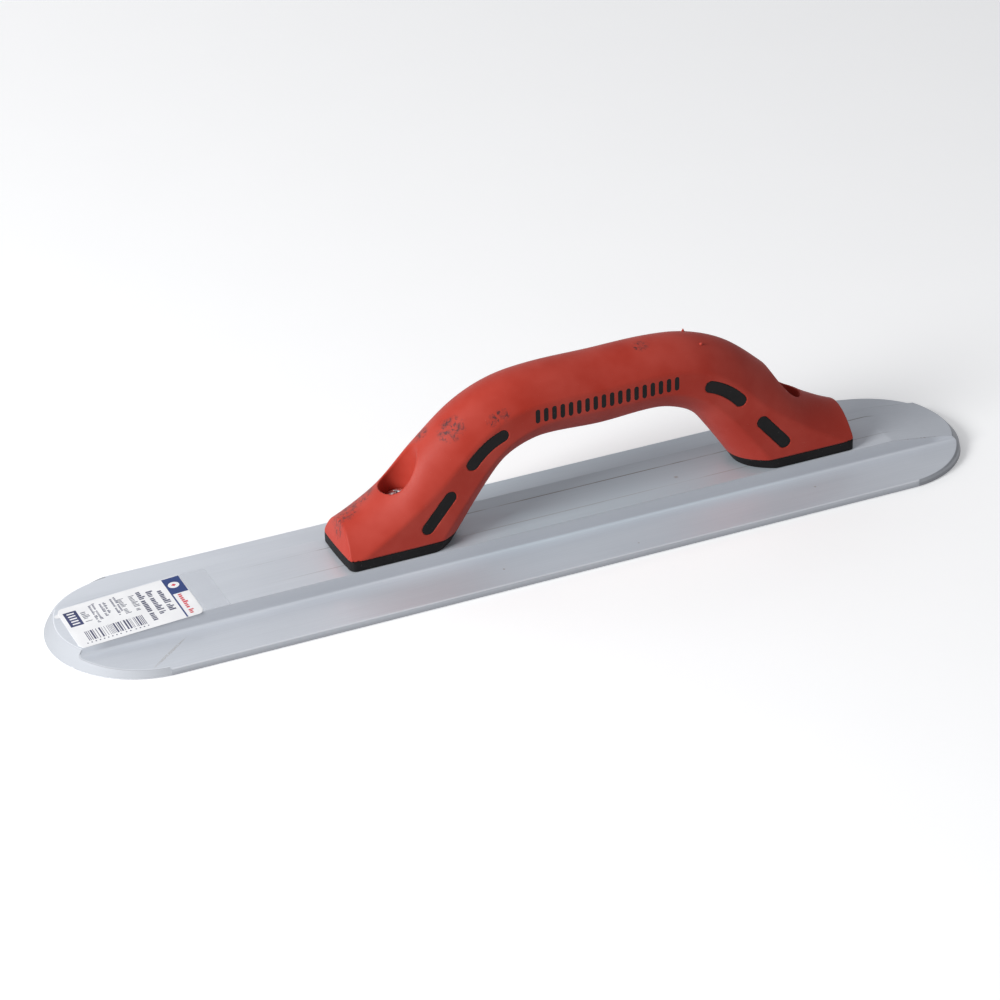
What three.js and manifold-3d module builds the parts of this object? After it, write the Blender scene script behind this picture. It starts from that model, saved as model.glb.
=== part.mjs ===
// Magnesium hand float: an extruded blade with round ends, and an arched handle held by two screws.
// Millimetres, +Z up. The origin is at the middle of the blade's sole, and +X runs along the blade.
import * as THREE from 'three';
import { mergeVertices } from 'three/addons/utils/BufferGeometryUtils.js';
import Module from 'manifold-3d';

const wasm = await Module();
wasm.setup();

// Blade
const BLADE_LENGTH = 406.4;
const BLADE_WIDTH = 79.4;
const END_RADIUS = BLADE_WIDTH / 2;
const END_CENTRE = BLADE_LENGTH / 2 - END_RADIUS;
const BLADE_EDGE = 2.9;            // height of the long side faces
const ARRIS_RADIUS = 0.45;
const FLANGE_ROOT = 4.2;           // flange height where it meets the rib
const RIB_HEIGHT = 10.3;
const RIB_TOP_HALF = 15.9;
const RIB_FOOT_HALF = 16.9;
const RIB_FILLET = 1.7;
const FRONT_BEVEL = [[39.7, 0.3], [38.2, 3.0], [35.6, 7.0], [33.2, 11.3]];   // [radius, height]
const REAR_BEVEL = [[39.7, 0.3], [39.2, 2.8], [36.0, 6.3], [31.3, 11.3]];
const BEVEL_START = 166;           // the long sides stop here, and the end bevel begins
const FRONT_RAMP = { start: 143, slope: 0.06 };     // the rib top slopes down to each end
const REAR_RAMP = { start: 166.5, slope: 0.14 };
const END_SIDES = 88;

// Handle
const HANDLE_X = 34.2;             // the handle sits behind the middle of the blade
const HANDLE_HALF = 115;           // half of its length
const TOE_HALF = 114;              // half length at the corners of the slightly bowed end faces
const TOE_CORNER = 2.6;
const TOE_LEAN = 0.14;             // the end faces lean in by this much for each millimetre of height
const FOOT_HALF_WIDTH = 15.5;
const FOOT_HEIGHT = 4.4;           // hard foot showing under the soft grip
const SEAT_GAP = 0.05;             // between parts that rest on each other
const FIT_GAP = 0.3;               // between the grip and the core that it covers
const CORE_INSET = 4.5;            // thickness of the soft grip
const SIDE_FLAT = 1.06;            // how far the crowned top and keel run past the side flats
const OUTER_MESH = { halfStations: 23, crownSteps: 12 };
const SPINE_MESH = { halfStations: 18, crownSteps: 8 };
const ABOVE_HANDLE = 90;           // cutters and sections run up to here

// Handle lines as [distance from the handle's middle, height above the sole].
const CREST = [
  [0, 76.4], [26, 76.4], [44, 74.1], [61, 67.1], [78, 53.2], [92, 38.6], [105, 30.5], [118, 24.9],
];
const UPPER_EDGE = [
  [0, 65.4], [28, 65.4], [46, 61.7], [60, 52.3], [75, 38.4], [90, 27.2], [104, 18.4], [118, 10.4],
];
const LOWER_EDGE = [[0, 56.6], [26, 56.4], [40, 52.2], [50, 45.0], [62, 31.2], [74, 15.2], [86, -3]];
const KEEL = [[0, 44.8], [25, 45.8], [36, 43.4], [45, 38.2], [53, 28.1], [65, 10.4], [80, -12]];
const HALF_WIDTH = [[0, 14.5], [45, 14.6], [80, 15.5], [118, 15.5]];

// Windows where the hard core shows in the side flats
const WINDOW_RADIUS = 2.7;
const LOWER_WINDOW = [[80.8, 22.1], [70.7, 33.7]];
const UPPER_WINDOW = [[60.3, 46.1], [54.0, 51.8], [46.8, 55.5]];
const WINDOW_STEPS = 6;

// Screws, washers and their wells
const SCREW_FROM_MIDDLE = 87;
const WELL_RADIUS = 8;
const WELL_LINING = 1.8;           // soft wall round the well, down to the shelf
const SHELF_HEIGHT = 28.2;
const WASHER = { outer: 6.4, inner: 1.95, thickness: 1.2 };
const SCREW = {
  head: 5.8, headHeight: 3.7, shank: 1.7, length: 25.4, recess: 6.2, blade: 1.3, recessDepth: 2.1,
};
const FRONT_SCREW_TURN = 20;
const REAR_SCREW_TURN = 65;
const SCREW_HOLE = 1.95;
const TAPPED_DEPTH = 8;

// Label and its clear carrier film
const LABEL = { x: -169.1, y: -0.9, length: 51.6, width: 31.8, corner: 2.6, thickness: 0.2, turn: -0.6 };
const FILM = { x: -137.5, y: -0.6, length: 10.8, width: 31.2, corner: 0.8, thickness: 0.12, turn: -0.6 };
const STICKER_GAP = 0.05;

const magnesium = { color: 0xb9bdc6, roughness: 0.42, metalness: 0.85 };
const softRed = { color: 0xb8422f, roughness: 0.62, metalness: 0 };
const hardBlack = { color: 0x1d1b1d, roughness: 0.55, metalness: 0 };
const zincSteel = { color: 0xc9ccd0, roughness: 0.3, metalness: 1 };
const paperWhite = { color: 0xe9ebf2, roughness: 0.6, metalness: 0 };
const clearFilm = { color: 0xd4d8de, roughness: 0.25, metalness: 0 };

const degrees = THREE.MathUtils.degToRad;

// Solids
function toSolid(geometry) {
  const bare = geometry.clone();
  bare.deleteAttribute('normal');
  bare.deleteAttribute('uv');
  const merged = mergeVertices(bare, 1e-4);
  return new wasm.Manifold(new wasm.Mesh({
    numProp: 3,
    vertProperties: new Float32Array(merged.attributes.position.array),
    triVerts: new Uint32Array(merged.index.array),
  }));
}

function toGeometry(solid) {
  const mesh = solid.getMesh();
  const geometry = new THREE.BufferGeometry();
  geometry.setAttribute('position', new THREE.BufferAttribute(new Float32Array(mesh.vertProperties), 3));
  geometry.setIndex(new THREE.BufferAttribute(new Uint32Array(mesh.triVerts), 1));
  geometry.computeVertexNormals();
  return geometry;
}

function namedMesh(name, solid, finish) {
  const mesh = new THREE.Mesh(toGeometry(solid), new THREE.MeshStandardMaterial(finish));
  mesh.name = name;
  return mesh;
}

function joined(solids) {
  return solids.reduce((whole, solid) => whole.add(solid));
}

function blockSolid(xRange, yRange, zRange) {
  const size = [xRange, yRange, zRange].map(([low, high]) => high - low);
  const middle = [xRange, yRange, zRange].map(([low, high]) => (low + high) / 2);
  return toSolid(new THREE.BoxGeometry(...size).translate(...middle));
}

function rodSolid(x, y, radius, zLow, zHigh, sides = 40) {
  const rod = new THREE.CylinderGeometry(radius, radius, zHigh - zLow, sides);
  rod.rotateX(Math.PI / 2).translate(x, y, (zLow + zHigh) / 2);
  return toSolid(rod);
}

// An outline drawn in X and Z, extruded across Y.
function acrossSolid(shape, yLow, yHigh, curveSegments = 6) {
  const depth = yHigh - yLow;
  const across = new THREE.ExtrudeGeometry(shape, { depth, bevelEnabled: false, curveSegments });
  return toSolid(across.rotateX(Math.PI / 2).translate(0, yHigh, 0));
}

function roundedPlate(length, width, corner) {
  const [x, y] = [length / 2, width / 2];
  const plate = new THREE.Shape();
  plate.absarc(x - corner, y - corner, corner, 0, Math.PI / 2);
  plate.absarc(-x + corner, y - corner, corner, Math.PI / 2, Math.PI);
  plate.absarc(-x + corner, -y + corner, corner, Math.PI, 1.5 * Math.PI);
  plate.absarc(x - corner, -y + corner, corner, 1.5 * Math.PI, 2 * Math.PI);
  return plate;
}

// Blade
function bladeSection() {
  const wallSlope = Math.atan2(RIB_HEIGHT - FLANGE_ROOT, RIB_FOOT_HALF - RIB_TOP_HALF);
  const filletX = RIB_FOOT_HALF + RIB_FILLET;
  const filletZ = FLANGE_ROOT + RIB_FILLET;
  const arrisX = END_RADIUS - ARRIS_RADIUS;
  const arrisZ = BLADE_EDGE - ARRIS_RADIUS;
  const section = new THREE.Shape();
  section.moveTo(-END_RADIUS, 0);
  section.lineTo(END_RADIUS, 0);
  section.absarc(arrisX, arrisZ, ARRIS_RADIUS, 0, Math.PI / 2);
  section.absarc(filletX, filletZ, RIB_FILLET, 1.5 * Math.PI, Math.PI + (Math.PI / 2 - wallSlope), true);
  section.lineTo(RIB_TOP_HALF, RIB_HEIGHT);
  section.lineTo(-RIB_TOP_HALF, RIB_HEIGHT);
  section.absarc(-filletX, filletZ, RIB_FILLET, wallSlope - Math.PI / 2, -Math.PI / 2, true);
  section.absarc(-arrisX, arrisZ, ARRIS_RADIUS, Math.PI / 2, Math.PI);
  return section;
}

// Each round end is a low cone whose machined wall leans in towards the top.
function endCone(side, bevel) {
  const coneTop = bevel.at(-1)[1];
  const profile = [[0, 0], [END_RADIUS, 0], ...bevel, [0, coneTop]];
  const cone = new THREE.LatheGeometry(profile.map(([r, z]) => new THREE.Vector2(r, z)), END_SIDES);
  return toSolid(cone.rotateX(Math.PI / 2).translate(side * END_CENTRE, 0, 0));
}

// The wedge milled off the rib top at one end.
function endRamp(side, ramp) {
  const reach = BLADE_LENGTH / 2 + 1;
  const lowEnd = RIB_HEIGHT - (reach - ramp.start) * ramp.slope;
  const wedge = new THREE.Shape();
  wedge.moveTo(side * ramp.start, RIB_HEIGHT);
  wedge.lineTo(side * reach, lowEnd);
  wedge.lineTo(side * reach, RIB_HEIGHT + 1);
  wedge.lineTo(side * ramp.start, RIB_HEIGHT + 1);
  return acrossSolid(wedge, -END_RADIUS, END_RADIUS);
}

function bladeSolid() {
  const extrusion = new THREE.ExtrudeGeometry(bladeSection(), {
    depth: BLADE_LENGTH, bevelEnabled: false, curveSegments: 5,
  });
  extrusion.rotateX(Math.PI / 2).rotateZ(Math.PI / 2).translate(-BLADE_LENGTH / 2, 0, 0);
  const middle = blockSolid([-BEVEL_START, BEVEL_START], [-END_RADIUS, END_RADIUS], [0, RIB_HEIGHT + 1]);
  const outline = joined([middle, endCone(-1, FRONT_BEVEL), endCone(1, REAR_BEVEL)]);
  const ramps = joined([endRamp(-1, FRONT_RAMP), endRamp(1, REAR_RAMP)]);
  const holes = joined(screwPlaces().map((x) => (
    rodSolid(x, 0, SCREW_HOLE, RIB_HEIGHT - TAPPED_DEPTH, RIB_HEIGHT + 1, 24))));
  return toSolid(extrusion).intersect(outline).subtract(ramps).subtract(holes);
}

// Handle lines
function lineHeight(knots, distance) {
  const slopeAt = (i) => {
    if (i === 0) return 0;
    const after = knots[Math.min(i + 1, knots.length - 1)];
    const before = knots[i - 1];
    return (after[1] - before[1]) / (after[0] - before[0]);
  };
  let i = 0;
  while (i < knots.length - 2 && distance > knots[i + 1][0]) i += 1;
  const [x0, z0] = knots[i];
  const [x1, z1] = knots[i + 1];
  const span = x1 - x0;
  const t = (distance - x0) / span;
  if (t > 1) return z1 + slopeAt(i + 1) * (distance - x1);
  const rise = t * t * (3 - 2 * t);
  const leave = t * (1 - t) * (1 - t) * span * slopeAt(i);
  const arrive = t * t * (t - 1) * span * slopeAt(i + 1);
  return z0 + (z1 - z0) * rise + leave + arrive;
}

function lineSlope(knots, distance) {
  const step = 0.5;
  return (lineHeight(knots, distance + step) - lineHeight(knots, Math.max(0, distance - step)))
    / (step + Math.min(step, distance));
}

// Drop of the crowned top, from 0 on the middle to 1 at the side flat.
function crownDrop(t) {
  const depth = (u) => 1 - Math.sqrt(1 - (u / SIDE_FLAT) ** 2);
  return depth(t) / depth(1);
}

// The section of the handle in plain units: the crest at 2, the side flats from 1 to -1, the keel at -2.
function plainSection(crownSteps) {
  const points = [];
  for (let i = 0; i <= crownSteps; i += 1) {
    const t = Math.sin(Math.PI * (i / crownSteps - 0.5));
    points.push(new THREE.Vector2(t, 2 - crownDrop(Math.abs(t))));
  }
  const below = points.map((p) => new THREE.Vector2(p.x, -p.y));
  return new THREE.Shape([...below, ...points.reverse()]);
}

// The arched handle body, drawn through vertical sections; inset makes it smaller all round.
function archSolid(inset, { halfStations, crownSteps }) {
  const reach = HANDLE_HALF + 3 - inset;
  const arch = new THREE.ExtrudeGeometry(plainSection(crownSteps), {
    depth: 2, steps: 2 * halfStations, bevelEnabled: false,
  });
  const position = arch.attributes.position;
  for (let i = 0; i < position.count; i += 1) {
    const along = position.getZ(i) - 1;
    const distance = Math.abs(along) * reach;
    const level = position.getY(i);
    const upper = lineHeight(UPPER_EDGE, distance);
    const lower = Math.min(lineHeight(LOWER_EDGE, distance), upper - 1);
    const crestDrop = inset * Math.hypot(1, lineSlope(CREST, distance));
    const keelRise = inset * Math.hypot(1, lineSlope(KEEL, distance));
    const crest = Math.max(lineHeight(CREST, distance) - crestDrop, upper + 0.5);
    const keel = Math.min(lineHeight(KEEL, distance) + keelRise, lower - 0.5);
    let z = lower + (upper - lower) * (level + 1) / 2;
    if (level > 1) z = upper + (crest - upper) * (level - 1);
    if (level < -1) z = lower + (lower - keel) * (level + 1);
    const y = position.getX(i) * (lineHeight(HALF_WIDTH, distance) - inset);
    position.setXYZ(i, HANDLE_X + along * reach, y, z);
  }
  return toSolid(arch);
}

// Plan outline of the handle, with slightly bowed end faces and small corners.
function planShape(inset) {
  const corner = Math.max(TOE_CORNER - inset, 0.5);
  const halfWidth = FOOT_HALF_WIDTH + 1 - inset;
  const [bow, toe] = [HANDLE_HALF - inset, TOE_HALF - inset];
  const side = FOOT_HALF_WIDTH - inset;
  const plan = new THREE.Shape();
  plan.moveTo(HANDLE_X + toe - corner, -side);
  plan.quadraticCurveTo(HANDLE_X + toe, -side, HANDLE_X + toe, -side + corner);
  plan.quadraticCurveTo(HANDLE_X + 2 * bow - toe, 0, HANDLE_X + toe, side - corner);
  plan.quadraticCurveTo(HANDLE_X + toe, side, HANDLE_X + toe - corner, side);
  plan.lineTo(HANDLE_X + toe - corner - 1, halfWidth);
  plan.lineTo(HANDLE_X - toe + corner + 1, halfWidth);
  plan.lineTo(HANDLE_X - toe + corner, side);
  plan.quadraticCurveTo(HANDLE_X - toe, side, HANDLE_X - toe, side - corner);
  plan.quadraticCurveTo(HANDLE_X - 2 * bow + toe, 0, HANDLE_X - toe, -side + corner);
  plan.quadraticCurveTo(HANDLE_X - toe, -side, HANDLE_X - toe + corner, -side);
  plan.lineTo(HANDLE_X - toe + corner + 1, -halfWidth);
  plan.lineTo(HANDLE_X + toe - corner - 1, -halfWidth);
  return plan;
}

// The plan outline as a solid whose end faces lean in above the hard foot.
function planSolid(inset, zLow, zHigh) {
  const footTop = RIB_HEIGHT + FOOT_HEIGHT;
  const plan = new THREE.ExtrudeGeometry(planShape(inset), { depth: zHigh - zLow, bevelEnabled: false });
  const position = plan.attributes.position;
  for (let i = 0; i < position.count; i += 1) {
    const z = position.getZ(i) + zLow;
    const leanIn = Math.max(0, z - footTop) * TOE_LEAN;
    const fromMiddle = position.getX(i) - HANDLE_X;
    position.setX(i, HANDLE_X + fromMiddle * (1 - leanIn / HANDLE_HALF));
    position.setZ(i, z);
  }
  return toSolid(plan);
}

function handleBody(inset, zLow, zHigh, meshSize) {
  return archSolid(inset, meshSize).intersect(planSolid(inset, zLow, zHigh));
}

function screwPlaces() {
  return [-1, 1].map((side) => HANDLE_X + side * SCREW_FROM_MIDDLE);
}

// One window, as a round-ended bar that follows its middle line.
function windowShape(side, middleLine, radius) {
  const spots = middleLine.map(([d, z]) => new THREE.Vector2(HANDLE_X + side * d, z));
  const curve = new THREE.SplineCurve(spots);
  const [left, right] = [[], []];
  for (let i = 0; i <= WINDOW_STEPS; i += 1) {
    const spot = curve.getPoint(i / WINDOW_STEPS);
    const across = curve.getTangent(i / WINDOW_STEPS).rotateAround(new THREE.Vector2(), Math.PI / 2);
    left.push(spot.clone().addScaledVector(across, radius));
    right.push(spot.clone().addScaledVector(across, -radius));
  }
  const cap = (end, start) => Array.from({ length: 5 }, (_, i) => (
    start.clone().rotateAround(end, -Math.PI * (i + 1) / 6)));
  return new THREE.Shape([
    ...left, ...cap(spots.at(-1), left.at(-1)), ...right.reverse(), ...cap(spots[0], right.at(-1)),
  ]);
}

function windowBars(grow) {
  const bars = [];
  for (const side of [-1, 1]) {
    for (const line of [LOWER_WINDOW, UPPER_WINDOW]) {
      const shape = windowShape(side, line, WINDOW_RADIUS + grow);
      bars.push(acrossSolid(shape, -FOOT_HALF_WIDTH - 1, FOOT_HALF_WIDTH + 1));
    }
  }
  return joined(bars);
}

// The hard core: a foot plate at each end, the arched spine and the window pads.
// grow makes it larger all round, which gives the hollow inside the grip.
function coreSolid(grow) {
  const footTop = RIB_HEIGHT + FOOT_HEIGHT - FIT_GAP + grow;
  const feet = handleBody(0, RIB_HEIGHT + SEAT_GAP - 2 * grow, footTop, OUTER_MESH);
  const spine = handleBody(CORE_INSET - grow, RIB_HEIGHT + 1, ABOVE_HANDLE, SPINE_MESH);
  const pads = handleBody(0, footTop + 1, ABOVE_HANDLE, OUTER_MESH).intersect(windowBars(grow));
  const wells = joined(screwPlaces().map((x) => (
    rodSolid(x, 0, WELL_RADIUS + WELL_LINING + FIT_GAP - grow, SHELF_HEIGHT + grow, ABOVE_HANDLE, 32))));
  return joined([feet, spine, pads]).subtract(wells);
}

function coreWithHoles() {
  const holes = joined(screwPlaces().map((x) => (
    rodSolid(x, 0, SCREW_HOLE, RIB_HEIGHT - 1, ABOVE_HANDLE, 24))));
  return coreSolid(0).subtract(holes);
}

function gripSolid() {
  const body = handleBody(0, RIB_HEIGHT + FOOT_HEIGHT, ABOVE_HANDLE, OUTER_MESH);
  const wells = joined(screwPlaces().map((x) => (
    rodSolid(x, 0, WELL_RADIUS, SHELF_HEIGHT - 1, ABOVE_HANDLE))));
  return body.subtract(coreSolid(FIT_GAP)).subtract(windowBars(FIT_GAP)).subtract(wells);
}

// Fasteners
function washerSolid(x) {
  const low = SHELF_HEIGHT + SEAT_GAP;
  const high = low + WASHER.thickness;
  const hole = rodSolid(x, 0, WASHER.inner, low - 1, high + 1, 24);
  return rodSolid(x, 0, WASHER.outer, low, high, 36).subtract(hole);
}

function screwSolid(x, turn) {
  const seat = SHELF_HEIGHT + WASHER.thickness + 2 * SEAT_GAP;
  const top = SCREW.headHeight;
  const profile = new THREE.Path();
  profile.moveTo(0, -SCREW.length);
  profile.lineTo(SCREW.shank - 0.8, -SCREW.length);
  profile.lineTo(SCREW.shank, -SCREW.length + 0.8);
  profile.lineTo(SCREW.shank, 0);
  profile.lineTo(SCREW.head, 0);
  profile.lineTo(SCREW.head, top * 0.45);
  profile.quadraticCurveTo(SCREW.head, top * 0.95, SCREW.head * 0.5, top);
  profile.lineTo(0, top);
  const turned = toSolid(new THREE.LatheGeometry(profile.getPoints(6), 32).rotateX(Math.PI / 2));
  const recess = [0, 90].map((angle) => toSolid(
    new THREE.BoxGeometry(SCREW.recess, SCREW.blade, 2 * SCREW.recessDepth)
      .rotateZ(degrees(angle + turn)).translate(0, 0, top)));
  return turned.subtract(joined(recess)).translate(x, 0, seat);
}

// A sticker lies on the rib top and bends where the rib slopes down to the blade's end.
function stickerSolid({ x, y, length, width, corner, thickness, turn }) {
  const [low, high] = [STICKER_GAP, STICKER_GAP + thickness];
  const far = BLADE_LENGTH / 2;
  const bend = -FRONT_RAMP.start;
  const drop = (far - FRONT_RAMP.start) * FRONT_RAMP.slope;
  const sheet = new THREE.Shape();
  sheet.moveTo(0, RIB_HEIGHT + low);
  sheet.lineTo(0, RIB_HEIGHT + high);
  sheet.lineTo(bend, RIB_HEIGHT + high);
  sheet.lineTo(-far, RIB_HEIGHT + high - drop);
  sheet.lineTo(-far, RIB_HEIGHT + low - drop);
  sheet.lineTo(bend, RIB_HEIGHT + low);
  const plan = new THREE.ExtrudeGeometry(roundedPlate(length, width, corner), {
    depth: 20, bevelEnabled: false, curveSegments: 4,
  });
  plan.rotateZ(degrees(turn)).translate(x, y, 0);
  return acrossSolid(sheet, -END_RADIUS, END_RADIUS).intersect(toSolid(plan));
}

function handFloat() {
  const [frontX, rearX] = screwPlaces();
  const float = new THREE.Group();
  float.add(
    namedMesh('blade', bladeSolid(), magnesium),
    namedMesh('handle_core', coreWithHoles(), hardBlack),
    namedMesh('handle_grip', gripSolid(), softRed),
    namedMesh('front_washer', washerSolid(frontX), zincSteel),
    namedMesh('rear_washer', washerSolid(rearX), zincSteel),
    namedMesh('front_screw', screwSolid(frontX, FRONT_SCREW_TURN), zincSteel),
    namedMesh('rear_screw', screwSolid(rearX, REAR_SCREW_TURN), zincSteel),
    namedMesh('label', stickerSolid(LABEL), paperWhite),
    namedMesh('label_film', stickerSolid(FILM), clearFilm),
  );
  return float;
}

export default handFloat();
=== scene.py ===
# Magnesium hand float: the visual model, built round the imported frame.
# Shapes are worked out in millimetres and turned into metres when a mesh is made.
import math
import random

import bmesh
import bpy
import numpy as np
from mathutils import Matrix, Vector


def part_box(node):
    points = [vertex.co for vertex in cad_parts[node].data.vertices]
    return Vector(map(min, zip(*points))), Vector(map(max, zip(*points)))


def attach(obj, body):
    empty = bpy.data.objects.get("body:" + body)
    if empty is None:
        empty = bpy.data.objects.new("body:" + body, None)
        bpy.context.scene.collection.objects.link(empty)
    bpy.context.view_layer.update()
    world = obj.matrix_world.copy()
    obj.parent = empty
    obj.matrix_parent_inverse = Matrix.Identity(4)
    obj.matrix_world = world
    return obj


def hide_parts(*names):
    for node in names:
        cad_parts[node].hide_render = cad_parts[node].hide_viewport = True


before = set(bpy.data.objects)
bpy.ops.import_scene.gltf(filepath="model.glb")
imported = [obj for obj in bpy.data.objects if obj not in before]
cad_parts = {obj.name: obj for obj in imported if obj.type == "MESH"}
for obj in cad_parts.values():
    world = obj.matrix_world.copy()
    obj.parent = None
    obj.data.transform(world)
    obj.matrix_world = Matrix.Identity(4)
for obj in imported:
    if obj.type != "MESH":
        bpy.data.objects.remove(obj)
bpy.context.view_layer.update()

MM = 0.001
BODY = "root"


def box_mm(node):
    """Lowest and highest corners of a CAD node, in millimetres."""
    low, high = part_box(node)
    return [v / MM for v in low], [v / MM for v in high]


_, BLADE_HIGH = box_mm("blade")
GRIP_LOW, GRIP_HIGH = box_mm("handle_grip")
CORE_LOW, _ = box_mm("handle_core")
LABEL_LOW, LABEL_HIGH = box_mm("label")
FILM_LOW, FILM_HIGH = box_mm("label_film")

# Blade, all in millimetres
HALF_LENGTH = BLADE_HIGH[0]
HALF_WIDTH = BLADE_HIGH[1]
RIB_HEIGHT = BLADE_HIGH[2]
END_CENTRE = HALF_LENGTH - HALF_WIDTH
EDGE_HEIGHT = 2.9
ARRIS = 0.45
FLANGE_ROOT = 4.2
RIB_TOP_HALF = 15.9
RIB_FOOT_HALF = 16.9
RIB_FILLET = 1.7
WALL_LEAN = (RIB_FOOT_HALF - RIB_TOP_HALF) / (RIB_HEIGHT - FLANGE_ROOT)
FRONT_BEVEL = [(39.7, 0.3), (38.2, 3.0), (35.6, 7.0), (33.2, 11.3)]
REAR_BEVEL = [(39.7, 0.3), (39.2, 2.8), (36.0, 6.3), (31.3, 11.3)]
BEVEL_START = 166.0
SETBACK = 0.4
COLUMN_GAP = math.radians(0.02)
MIDDLE_REACH = 142.0
CREASE_EASE = 0.8
FRONT_CONE = 0.62
REAR_CONE = 0.92
FRONT_RAMP = (143.0, 0.06)
REAR_RAMP = (166.5, 0.14)
DIE_LINE = 8.0
DIE_LINE_HALF = 0.22
DIE_LINE_DEPTH = 0.07
RUST_DOTS = [
    ((70.7, -3.0, 10.3), 1.3),
    ((-20.0, -29.0, 3.5), 0.7),
    ((124.0, -26.0, 3.7), 0.8),
    ((38.0, -34.0, 3.1), 0.6),
]

# Handle, all in millimetres
HANDLE_X = (GRIP_LOW[0] + GRIP_HIGH[0]) / 2
HANDLE_HALF = (GRIP_HIGH[0] - GRIP_LOW[0]) / 2
TOE_BOW = 22.0
TOE_LEAN = 0.14
FOOT_TOP = GRIP_LOW[2]
SCREW_FROM_MIDDLE = 87.0
WELL_RADIUS = 8.0
SHELF_HEIGHT = 28.2
CREST = [(0, 76.4), (26, 76.4), (44, 74.1), (61, 67.1), (78, 53.2), (92, 38.6), (105, 30.5), (118, 24.9)]
UPPER_EDGE = [(0, 65.4), (28, 65.4), (46, 61.7), (60, 52.3), (75, 38.4), (90, 27.2), (104, 18.4), (118, 10.4)]
LOWER_EDGE = [(0, 56.6), (26, 56.4), (40, 52.2), (50, 45.0), (62, 31.2), (74, 15.2), (86, -3)]
KEEL = [(0, 44.8), (25, 45.8), (36, 43.4), (45, 38.2), (53, 28.1), (65, 10.4), (80, -12)]
WIDTH_LINE = [(0, 14.5), (45, 14.6), (80, 15.5), (118, 15.5)]
SIDE_FLAT = 1.2
WINDOW_RADIUS = 2.7
WINDOW_DEPTH = 3.2
WINDOW_GAP = 0.04
PAD_SINK = 0.06
LOWER_WINDOW = [(80.8, 22.1), (70.7, 33.7)]
UPPER_WINDOW = [(60.3, 46.1), (54.0, 51.8), (46.8, 55.5)]
SCUFFS = [
    ((-32.0, -7.0, 60.0), (9.0, 7.0, 7.0), (0, 0, 0)),
    ((-13.5, -13.0, 63.5), (7.0, 3.0, 4.5), (0, -20, 0)),
    ((-75.5, 2.5, 27.5), (11.0, 8.0, 8.0), (0, -20, 0)),
    ((-67.0, 6.0, 31.0), (10.0, 8.0, 8.0), (0, -20, 0)),
    ((-81.0, 0.0, 24.0), (7.0, 6.0, 7.0), (0, 0, 0)),
    ((-41.0, 2.0, 55.0), (5.0, 4.0, 6.0), (0, 0, 0)),
    ((54.0, -4.0, 76.0), (5.0, 4.0, 3.0), (0, 0, 0)),
]


# Materials

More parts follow.
